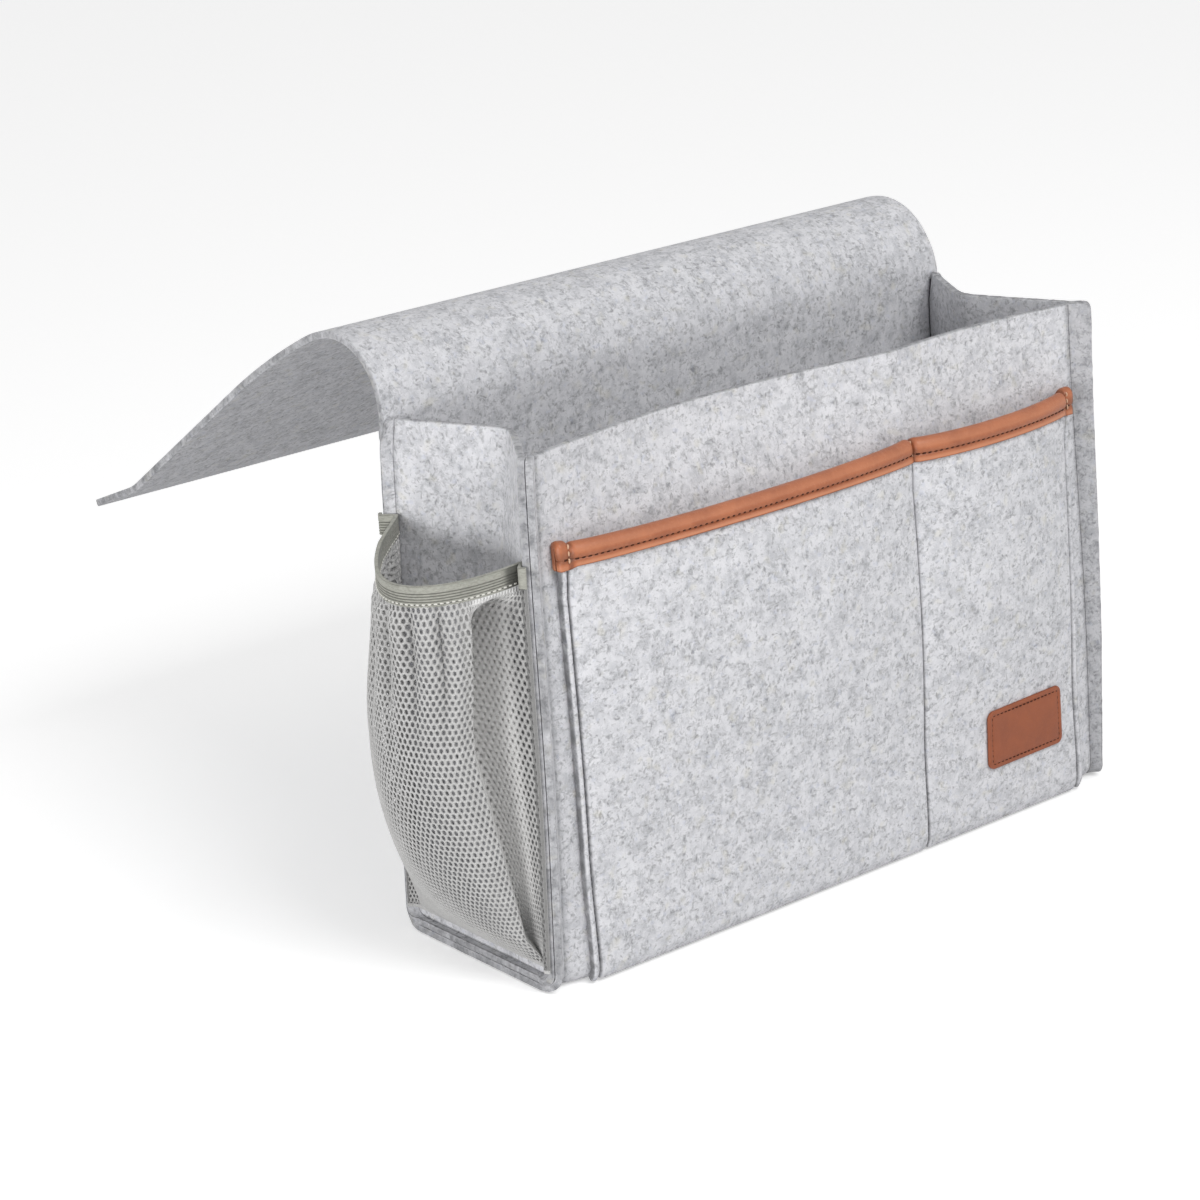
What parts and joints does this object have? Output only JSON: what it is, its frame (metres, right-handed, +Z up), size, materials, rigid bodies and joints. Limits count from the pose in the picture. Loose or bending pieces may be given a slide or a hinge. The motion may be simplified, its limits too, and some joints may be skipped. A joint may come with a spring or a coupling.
{
  "type": "felt bedside organizer",
  "caption": "Open felt caddy with front pockets, mesh side pockets and a long bendable flap that slides under a mattress to hang it at the bedside.",
  "frame": {"origin": "middle of the base's flat underside", "axes": "+X right along the front, +Y to the back where the flap is, +Z up"},
  "size_m": [0.3966, 0.3608, 0.2625],
  "materials": {
    "felt": "matte heathered felt",
    "leather": "smooth semi-matte",
    "mesh": "open warp-knit net",
    "elastic": "ribbed woven elastic"
  },
  "bodies": {
    "caddy": {"front_panel": "felt", "front_fold": "felt", "base_panel": "felt", "back_fold": "felt", "back_panel": "felt", "gusset_left": "felt", "gusset_right": "felt", "pocket_panel": "felt", "pocket_binding": "leather", "leather_patch": "leather", "mesh_pouch_left": "mesh", "mesh_pouch_right": "mesh", "elastic_left": "elastic", "elastic_right": "elastic"},
    "arch_front": {"flap_arch_front": "felt"},
    "arch_rear": {"flap_arch_rear": "felt"},
    "slope": {"flap_slope": "felt"},
    "tongue": {"flap_tongue": "felt"}
  },
  "joints": [
    {"name": "flap_root_bend", "type": "hinge", "parent": "caddy", "child": "arch_front", "pos_m": [0, 0.04916, 0.23546], "axis": [1, 0, 0], "range_deg": [-25, 100]},
    {"name": "flap_crown_bend", "type": "hinge", "parent": "arch_front", "child": "arch_rear", "pos_m": [0, 0.0667, 0.25787], "axis": [1, 0, 0], "range_deg": [-10, 55]},
    {"name": "flap_slope_bend", "type": "hinge", "parent": "arch_rear", "child": "slope", "pos_m": [0, 0.10863, 0.25226], "axis": [1, 0, 0], "range_deg": [-10, 45]},
    {"name": "flap_tip_bend", "type": "hinge", "parent": "slope", "child": "tongue", "pos_m": [0, 0.25718, 0.15807], "axis": [1, 0, 0], "range_deg": [-40, 60]}
  ]
}
